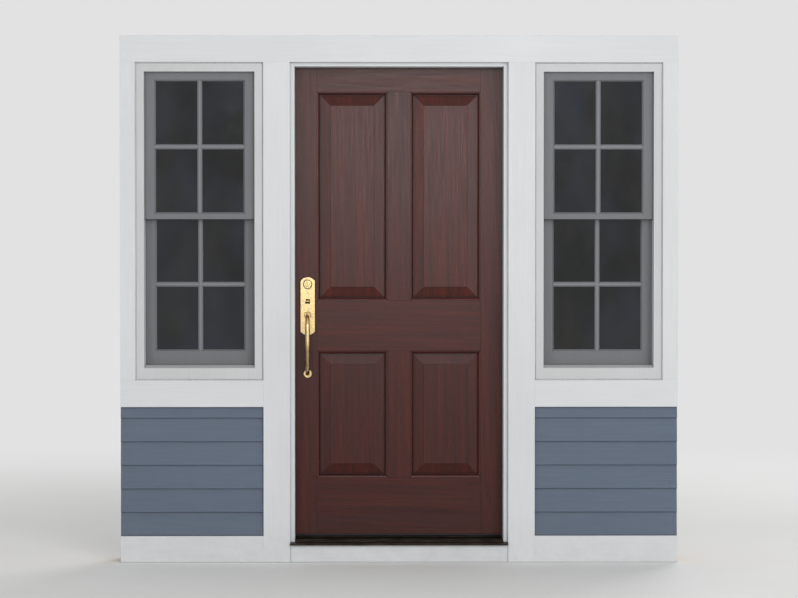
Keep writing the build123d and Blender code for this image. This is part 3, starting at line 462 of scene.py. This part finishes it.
def near_floor(tree, top):
    """1 at the floor, fading to 0 at height top in metres."""
    height = distance_along(tree, "Z")
    fade = {"Value": height, "From Min": 0.0, "From Max": top, "To Min": 1.0, "To Max": 0.0}
    return add(tree, "ShaderNodeMapRange", fade).outputs[0]


# Such a line is 0.3 mm wide on a real door; here the last 1.2 mm of the board, or it wouldn't show.
SHOULDER_LINE = 0.0012


def shoulder_lines(tree, axis, ends):
    """1 on the hairline where a rail or mullion meets its neighbour, at the ends of the board."""
    along = distance_along(tree, axis)
    along = add(tree, "ShaderNodeMath", {0: along}, operation="ABSOLUTE").outputs[0]
    found = 0.0
    for end in ends:
        close = {0: along, 1: end, 2: SHOULDER_LINE}
        line = add(tree, "ShaderNodeMath", close, operation="COMPARE").outputs[0]
        found = add(tree, "ShaderNodeMath", {0: line, 1: found}, operation="MAXIMUM").outputs[0]
    return found


def varnished_mahogany(board, axis, seed, tone, paired, shoulders):
    """Mahogany, planed, stained and varnished satin. Tone is 0 on the darkest board, 1 on the reddest.

    Its interlocked grain shows as ribbon stripes along the board, its open pores as short dark dashes,
    and the stain lies darker on the shoulder lines. The corners of the mouldings are darkened with
    painted shade, together with the stain that gathers there."""
    # Fresh varnish has an IOR of 1.5; the weaker gloss of an old coat needs less.
    material, tree, shader = bare_material("mahogany_" + board, IOR=1.36)
    grain = placed(tree, axis, seed, 26.0, paired)
    # Ribbon stripes about 24 mm wide, as wide as quarter-sawn mahogany shows them.
    ribbon = patches(tree, grain, 24, 3.0, 0.55)
    # Growth lines about 7 mm apart, wandering along the board. The bands turn once every 24 mm, which
    # is 0.63 / Scale in metres, and the distortion folds them closer.
    bands = {"Vector": grain, "Scale": 26.0, "Distortion": 9.0, "Detail": 3.0, "Detail Scale": 1.4}
    lines = add(tree, "ShaderNodeTexWave", bands, bands_direction="DIAGONAL").outputs[1]
    # Streaks of open pores 2.5 mm wide, and single pores: 0.2 mm wide on the real wood, here 0.9 mm.
    pores = patches(tree, placed(tree, axis, seed + 5, 60.0, paired), 2.5, 4.0, 0.6)
    dashes = patches(tree, placed(tree, axis, seed + 13, 24.0, paired), 0.9, 1.0, 0.5, -1.1, 1.2)
    wide = patches(tree, placed(tree, axis, seed + 9, 3.0, paired), 260)
    dark, red = between("#380B06", "#48140A", tone), between("#52170B", "#641F0E", tone)
    colour = laid_over(tree, dark, 1.0, red, ribbon)
    colour = laid_over(tree, colour, 0.42, "#2A0D07", lines)
    colour = laid_over(tree, colour, 0.32, "#32130B", wide)
    colour = laid_over(tree, colour, 0.34, "#1C0805", pores)
    colour = laid_over(tree, colour, 0.55, "#1A0704", dashes)
    # Painted shade in the corners of the mouldings, deepened by the stain that gathers there.
    colour = laid_over(tree, colour, 0.75, "#140705", recess(tree, 14))
    if shoulders:
        colour = laid_over(tree, colour, 0.8, "#120604", shoulder_lines(tree, axis, shoulders))
    soft, edge = arris(tree, 1.6)
    rub = patches(tree, grain, 30, 3.0, 0.6, -0.2, 0.8)
    colour = laid_over(tree, colour, 0.28, "#8A5640", edge, rub)
    dust = patches(tree, grain, 60, 4.0, 0.6)
    colour = laid_over(tree, colour, 0.06, "#8B8078", near_floor(tree, 0.35), dust)
    finished(tree, shader, colour, (pores, 0.25, 0.36), (pores, 0.16, 0.4), soft)
    return material


def brushed_paint(name, axis, coat, seed, paired=False, relief=0.3, gloss=0.48):
    """Satin exterior paint laid on boards with a brush.

    It shows long faint strokes, a slow change of tone, painted shade with some dust in the corners,
    dust low down, and rubbed edges."""
    material, tree, shader = bare_material(name, IOR=1.48)
    shade = between(coat, "#1E1C1A", 0.10)
    # Bristle marks are 1 mm apart on the real boards; here 5 mm, or they wouldn't show.
    strokes = patches(tree, placed(tree, axis, seed, 45.0, paired), 5, 3.0, 0.55)
    tone = patches(tree, placed(tree, axis, seed + 3, 2.5, paired), 320, 3.0)
    colour = laid_over(tree, coat, 1.0, between(coat, shade, 0.5), tone)
    colour = laid_over(tree, colour, 0.26, shade, strokes)
    # Painted shade in the corners, with some dust.
    colour = laid_over(tree, colour, 0.32, between(coat, "#2B2620", 0.62), recess(tree, 9))
    soft, edge = arris(tree, 1.5)
    worn = patches(tree, placed(tree, axis, seed + 7, 5.0, paired), 16, 3.0, 0.6, -0.9, 1.0)
    colour = laid_over(tree, colour, 1.0, "#8D8577", edge, worn)
    splash = patches(tree, placed(tree, axis, seed + 11, 1.5), 38, 5.0, 0.7)
    colour = laid_over(tree, colour, 0.16, "#7A7466", near_floor(tree, 0.22), splash)
    finished(tree, shader, colour, (strokes, gloss - 0.06, gloss + 0.08), (strokes, relief, 0.5), soft)
    return material


def emulsion(tree):
    """Colour and stipple of rolled wall paint: a warm off-white with a slow change of tone."""
    stipple = patches(tree, placed(tree), 6, 3.0, 0.6)
    colour = laid_over(tree, "#D8D2C6", 1.0, "#CDC6B9", patches(tree, placed(tree), 380, 3.0))
    return laid_over(tree, colour, 0.14, "#B3AB9C", stipple), stipple


# A point this close to a face's plane counts as lying on the face.
FACE_SLACK = 0.0002


def sawn_softwood(name, axis, seed, plastered=False):
    """Raw framing timber, sawn: yellowish growth rings, a few knots, and a fuzzy face in small patches.

    A post is plastered over on the face towards the room, level with the low wall beside it."""
    material, tree, shader = bare_material(name, IOR=1.45)
    # Growth rings are about 4 mm apart in the real timber; here 10 to 20 mm, or they wouldn't show.
    bands = {"Vector": placed(tree, axis, seed, 14.0), "Scale": 30.0, "Distortion": 5.0, "Detail": 2.0}
    rings = add(tree, "ShaderNodeTexWave", bands, bands_direction="DIAGONAL").outputs[1]
    colour = laid_over(tree, "#D9BC8A", 1.0, "#BE9560", rings)
    # A knot about 20 mm across, with a soft edge, in each cell of 250 mm.
    cells = {"Vector": placed(tree, axis, seed + 2, 1.6), "Scale": 4.0}
    away = add(tree, "ShaderNodeTexVoronoi", cells).outputs[0]
    near = {"Value": away, "From Min": 0.04, "From Max": 0.11, "To Min": 1.0, "To Max": 0.0}
    knot = add(tree, "ShaderNodeMapRange", near).outputs[0]
    colour = laid_over(tree, colour, 0.8, "#6E4426", knot)
    fuzz = patches(tree, placed(tree, axis, seed + 4), 8, 3.0, 0.6)
    colour = laid_over(tree, colour, 0.18, "#8C6B42", fuzz)
    if plastered:
        face = {0: distance_along(tree, "Y"), 1: WALL_BACK - FACE_SLACK}
        face = add(tree, "ShaderNodeMath", face, operation="GREATER_THAN").outputs[0]
        colour = laid_over(tree, colour, 1.0, emulsion(tree)[0], face)
    finished(tree, shader, colour, (fuzz, 0.72, 0.84), (fuzz, 0.4, 0.6))
    return material


def rolled_plaster(name):
    """Wall plaster under flat emulsion: a roller's orange-peel stipple, and a slow change of tone."""
    material, tree, shader = bare_material(name, IOR=1.45)
    colour, stipple = emulsion(tree)
    finished(tree, shader, colour, (stipple, 0.68, 0.78), (stipple, 0.35, 0.8))
    return material


def polished_brass(name, shade_band=()):
    """Lacquered brass: paler on the edges, as painted highlight and as rubbing by hands, and brown
    tarnish in patches and in the corners.

    Between two heights the metal is darkened brown: painted shade for the dark ground that the grip's
    lower bend mirrors. The brown fades in over 30 mm from below and 50 mm from above."""
    material, tree, shader = bare_material(name, Metallic=1.0)
    tarnish = patches(tree, placed(tree), 26, 4.0, 0.6)
    # Rub lines are 0.1 mm apart on the real plate; here 1.6 mm, or they wouldn't show.
    rubbed = patches(tree, placed(tree, "Z", 2, 18.0), 1.6, 3.0, 0.6)
    soft, edge = arris(tree, 0.7)
    colour = laid_over(tree, "#F1DAA8", 1.0, "#CFAE72", tarnish)
    if shade_band:
        low, high = shade_band
        height = distance_along(tree, "Z")
        above = {"Value": height, "From Min": low, "From Max": low + 0.03}
        above = add(tree, "ShaderNodeMapRange", above, interpolation_type="SMOOTHSTEP").outputs[0]
        below = {"Value": height, "From Min": high, "From Max": high - 0.05}
        below = add(tree, "ShaderNodeMapRange", below, interpolation_type="SMOOTHSTEP").outputs[0]
        shade_mottle = patches(tree, placed(tree, "Z", 3, 3.0), 9, 3.0, 0.6, 0.6, 1.1)
        # Painted shade: a brown darkening for the dark ground mirrored in the grip's lower bend.
        colour = laid_over(tree, colour, 0.72, "#5A4428", above, below, shade_mottle)
    # Painted highlight, with rub wear: the edges are laid over with a near-white cream.
    colour = laid_over(tree, colour, 0.55, "#FFF3D6", edge)
    colour = laid_over(tree, colour, 0.80, "#5E431B", recess(tree, 5))
    finished(tree, shader, colour, (tarnish, 0.10, 0.28), (rubbed, 0.06, 0.2), soft)
    return material


def bronze_anodised(name):
    """Bronze anodised aluminium, trodden: drawn lines along it, bare metal on ribs and nose, dust."""
    material, tree, shader = bare_material(name, Metallic=1.0)
    # Die lines are 0.3 mm apart on the real profile; here 1.8 mm, or they wouldn't show.
    drawn = patches(tree, placed(tree, "X", 1, 60.0), 1.8, 3.0, 0.6)
    dust = patches(tree, placed(tree), 70, 4.0, 0.65)
    soft, edge = arris(tree, 1.0)
    colour = laid_over(tree, "#2B241F", 1.0, "#1E1915", drawn)
    colour = laid_over(tree, colour, 0.9, "#A79B8A", edge, dust)
    colour = laid_over(tree, colour, 0.13, "#7B7266", dust)
    finished(tree, shader, colour, (drawn, 0.34, 0.55), (drawn, 0.15, 0.2), soft)
    return material


def extruded_rubber(name):
    """Black extruded rubber seal: matt, with faint lines along it and a grey bloom."""
    material, tree, shader = bare_material(name, IOR=1.5)
    lines = patches(tree, placed(tree, "X", 4, 40.0), 2, 3.0)
    bloom = patches(tree, placed(tree), 40, 4.0, 0.6)
    colour = laid_over(tree, "#1B1B1B", 1.0, "#2B2A29", bloom)
    finished(tree, shader, colour, (bloom, 0.6, 0.75), (lines, 0.2, 0.3))
    return material


def dark_window_glass(name):
    """Float glass given a nearly black colour: painted shade for an unlit room behind it.

    It has a hard reflection, faint waves and dust, and slow bluer and browner patches: painted
    reflection and shade for what shows through the panes."""
    material, tree, shader = bare_material(name, IOR=1.46, Transmission_Weight=0.35)
    place = placed(tree)
    roll = patches(tree, place, 240, 1.0)
    blue = patches(tree, placed(tree, "Z", 6, 1.6), 210, 2.0, 0.5, -0.4, 1.0)
    brown = patches(tree, placed(tree, "Z", 15, 2.4), 150, 2.0, 0.5, -0.4, 1.0)
    dust = patches(tree, place, 90, 5.0, 0.65)
    # Painted shade and reflection: a near-black base for the unlit room, with bluer and browner
    # patches.
    colour = laid_over(tree, "#060708", 0.8, "#232B39", blue)
    colour = laid_over(tree, colour, 0.6, "#292721", brown)
    colour = laid_over(tree, colour, 0.14, "#34383B", dust)
    finished(tree, shader, colour, (dust, 0.02, 0.09), (roll, 0.12, 2.0))
    return material


TRIM = "#CFD1D3"
FRAME_TRIM = "#C0C2C3"
INSIDE_TRIM = "#E0DDD4"
SASH = "#696B6E"
# The bars' grey is lighter than the sash's: painted light, for bars that stand proud of the glass.
BARS_LIT_GREY = "#74767A"
SIDING = "#566273"

# Varnished boards: CAD node, grain along, seed, tone, left and right solids, places of the shoulders.
# Partly painted shade: the bottom rail and the lower panels have low tones, so the door is darker
# towards its foot.
VARNISHED = (
    ("lock_stile", "Z", 1, 0.45, False, ()),
    ("hinge_stile", "Z", 2, 0.60, False, ()),
    ("top_rail", "X", 3, 0.35, False, (STILE_SHOULDER,)),
    ("lock_rail", "X", 4, 0.55, False, (STILE_SHOULDER,)),
    ("bottom_rail", "X", 5, 0.10, False, (STILE_SHOULDER,)),
    ("upper_mullion", "Z", 6, 0.50, False, UPPER_SHOULDERS),
    ("lower_mullion", "Z", 7, 0.40, False, LOWER_SHOULDERS),
    ("upper_panels", "Z", 8, 0.75, True, ()),
    ("lower_panels", "Z", 9, 0.40, True, ()),
)

# Painted boards: CAD nodes, material, brushed along, colour, seed, left and right solids.
PAINTED = (
    (("door_casings", "end_casings"), "white_upright_casings", "Z", TRIM, 11, True),
    (("head_casing", "riser_board"), "white_head_casing", "X", TRIM, 12, False),
    (("aprons", "skirt_boards"), "white_level_boards", "X", TRIM, 13, True),
    (("hinge_jamb", "lock_jamb"), "white_side_jambs", "Z", TRIM, 14, True),
    (("head_jamb",), "white_head_jamb", "X", TRIM, 15, False),
    (("window_frames",), "white_window_frames", "Z", FRAME_TRIM, 16, True),
    (("inside_casings",), "white_inside_uprights", "Z", INSIDE_TRIM, 17, True),
    (("inside_head_casing",), "white_inside_head", "X", INSIDE_TRIM, 18, False),
    (("inside_sills", "inside_skirting"), "white_inside_levels", "X", INSIDE_TRIM, 26, True),
    (("upper_sashes", "lower_sashes"), "grey_sash_paint", "Z", SASH, 19, True),
)

BRASS_NODES = (
    "door_hinge_leaves", "frame_hinge_leaves", "hinge_pins", "lock_faceplates", "strike_plates",
    "outer_handle_plate", "key_cylinder", "thumb_piece", "inner_lock_plate", "inside_knob", "bolt_turn",
)
# The grip is darkened brown between these heights: painted shade for the dark ground its lower bend
# mirrors.
GRIP_SHADE_BAND = (0.822, 0.955)


def dress(material, *names):
    """Puts a material on CAD nodes."""
    for name in names:
        for slot in nodes[name].material_slots:
            slot.material = material


def dress_nodes(brass):
    """Gives every CAD node that shows its material."""
    for board, *look in VARNISHED:
        dress(varnished_mahogany(board, *look), board)
    for names, *look in PAINTED:
        dress(brushed_paint(*look), *names)
    dress(sawn_softwood("sawn_posts", "Z", 21, plastered=True), "wall_posts")
    dress(sawn_softwood("sawn_header", "X", 22), "header", "sill_block")
    dress(rolled_plaster("rolled_plaster"), "knee_walls")
    dress(brass, *BRASS_NODES)
    dress(polished_brass("brass_grip_painted_shade", shade_band=GRIP_SHADE_BAND), "handle_grip")
    dress(bronze_anodised("bronze_anodised_threshold"), "threshold")
    dress(extruded_rubber("extruded_rubber"), "weatherstrip", "door_sweep")
    dress(dark_window_glass("dark_window_glass"), "window_panes")


def add_joinery():
    """Glazing bars, lapped boards with their nails, and the beads of caulk."""
    # The bars' lighter grey is painted light, not a paint of their own.
    bar_paint = brushed_paint("grey_bar_paint_lit", "Z", BARS_LIT_GREY, 23, paired=True)
    board_paint = brushed_paint(
        "slate_board_paint", "X", SIDING, 24, paired=True, relief=0.5, gloss=0.6
    )
    bead = brushed_paint("white_bead", "Z", TRIM, 25, paired=True)
    surface("window_bars", window_bars(), "frame", bar_paint)
    boards = surface("clapboards", clapboards(), "frame", board_paint)
    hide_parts("siding")
    surface("caulk_lines", caulk_lines(), "frame", bead, looped=True)
    surface("siding_nails", siding_nails(), "frame", board_paint)


def add_hardware(brass):
    """Screws and bolt ends. The lock edge is bevelled, so its screws stand at half of the bevel."""
    lock_edge = LOCK_EDGE_BEVEL / 2 - DOOR_HALF
    for name, rings, body in (
        ("plate_screws", plate_screws(), "door"),
        ("bolt_ends", bolt_ends(), "door"),
        ("faceplate_screws", edge_screws(lock_edge, -1, FACEPLATE_SCREW_REACH), "door"),
        ("strike_screws", edge_screws(-JAMB_FACE, 1, STRIKE_SCREW_REACH), "frame"),
        ("leaf_screws_door", leaf_screws(DOOR_HALF, 1), "door"),
        ("leaf_screws_frame", leaf_screws(JAMB_FACE, -1), "frame"),
    ):
        surface(name, rings, body, brass)


# How bright the sky shows behind the object, and how bright it lights the object.
BACKDROP = 0.76
DAYLIGHT = 0.46
WHITE = (1.0, 1.0, 1.0, 1.0)
# The floor goes this far each way, and lies a hair below the unit's foot.
FLOOR_REACH = 60.0
FLOOR_DROP = 0.0006
# The floor starts to fade into the backdrop at the first distance and is gone at the second.
FLOOR_FADE = (1.9, 7.0)
# Lamp: place, width, height, watts, whether gloss mirrors it. The sheen lamp stands where the door's
# upper half mirrors it and the panes and the panels' bevels don't.
LAMPS = (
    ("key", (2.2, -9.0, 4.6), 3.2, 3.2, 265.0, False),
    ("sheen", (0.13, -9.2, 2.35), 1.7, 1.5, 88.0, True),
    ("left", (-3.9, -8.6, 2.3), 3.2, 2.0, 80.0, True),
    ("right", (3.9, -8.6, 2.3), 3.2, 2.0, 120.0, True),
    ("back", (4.0, 9.5, 5.5), 5.0, 5.0, 380.0, True),
)
LAMPS_AIM = (0, 0, 1.1)
# The eye is as high as in the photo, and a little to the left of the door as there.
EYE = (-0.14, -12.1, 1.41)
EYE_AIM = (0, -0.02, 1.132)
LENS_MM, SENSOR_MM = 126.0, 36.0
FAR_CLIP = 200.0


def showing(tree):
    """1 for rays that show what lies behind the object: from the eye, off gloss and through glass."""
    path = add(tree, "ShaderNodeLightPath").outputs
    seen = add(tree, "ShaderNodeMath", {0: path["Is Camera Ray"], 1: path["Is Glossy Ray"]}).outputs[0]
    seen = {0: seen, 1: path["Is Transmission Ray"]}
    return add(tree, "ShaderNodeMath", seen, use_clamp=True).outputs[0]


def turned_to(place, aim):
    """The turn that points a lamp or a camera from its place at its aim."""
    return (Vector(aim) - Vector(place)).to_track_quat("-Z", "Y").to_euler()


def lay_floor():
    """A pale floor that keeps the object's shadow and fades into the backdrop some metres away."""
    corners = FLOOR_REACH * np.array([(-1, -1, 0), (1, -1, 0), (1, 1, 0), (-1, 1, 0)])
    corners[:, 2] = -FLOOR_DROP
    mesh = bpy.data.meshes.new("floor")
    mesh.from_pydata(corners.tolist(), [], [(0, 1, 2, 3)])
    floor = bpy.data.objects.new("floor", mesh)
    bpy.context.scene.collection.objects.link(floor)
    material, tree, shader = bare_material("pale_floor", Roughness=0.8)
    place = placed(tree)
    mottle = patches(tree, place, 900, 3.0)
    tree.links.new(laid_over(tree, "#ECECEB", 1.0, "#E8E8E7", mottle), shader.inputs["Base Color"])
    away = add(tree, "ShaderNodeVectorMath", {0: place}, operation="LENGTH").outputs["Value"]
    fade = {"Value": away, "From Min": FLOOR_FADE[0], "From Max": FLOOR_FADE[1]}
    far = add(tree, "ShaderNodeMapRange", fade, interpolation_type="SMOOTHSTEP").outputs[0]
    glow = add(tree, "ShaderNodeEmission", {"Color": WHITE, "Strength": BACKDROP})
    share = add(tree, "ShaderNodeMath", {0: far, 1: showing(tree)}, operation="MULTIPLY").outputs[0]
    mix = add(tree, "ShaderNodeMixShader", {0: share, 1: shader.outputs[0], 2: glow.outputs[0]})
    tree.links.new(mix.outputs[0], tree.nodes["Material Output"].inputs[0])
    mesh.materials.append(material)


def light_studio():
    """Soft lamps and an even sky, under which a colour renders about as it is written."""
    for name, place, width, height, power, mirrored in LAMPS:
        light = bpy.data.lights.new(name, "AREA")
        light.shape = "RECTANGLE"
        light.size = width
        light.size_y = height
        light.energy = power
        lamp = bpy.data.objects.new(name, light)
        lamp.location = place
        lamp.rotation_euler = turned_to(place, LAMPS_AIM)
        lamp.visible_glossy = mirrored
        bpy.context.scene.collection.objects.link(lamp)
    world = bpy.data.worlds.new("studio")
    bpy.context.scene.world = world
    world.use_nodes = True
    tree = world.node_tree
    tree.nodes.clear()
    level = {"Value": showing(tree), "To Min": DAYLIGHT, "To Max": BACKDROP}
    level = add(tree, "ShaderNodeMapRange", level).outputs[0]
    sky = add(tree, "ShaderNodeBackground", {"Color": WHITE, "Strength": level})
    add(tree, "ShaderNodeOutputWorld", {0: sky.outputs[0]})


def set_camera():
    """A camera that looks at the unit as the photo does, through a long lens."""
    data = bpy.data.cameras.new("camera")
    data.lens = LENS_MM
    data.sensor_width = SENSOR_MM
    data.clip_end = FAR_CLIP
    camera = bpy.data.objects.new("camera", data)
    camera.location = EYE
    camera.rotation_euler = turned_to(EYE, EYE_AIM)
    bpy.context.scene.collection.objects.link(camera)
    bpy.context.scene.camera = camera
    bpy.context.scene.view_settings.view_transform = "Standard"


brass = polished_brass("polished_brass")
dress_nodes(brass)
add_joinery()
add_hardware(brass)
lay_floor()
light_studio()
set_camera()
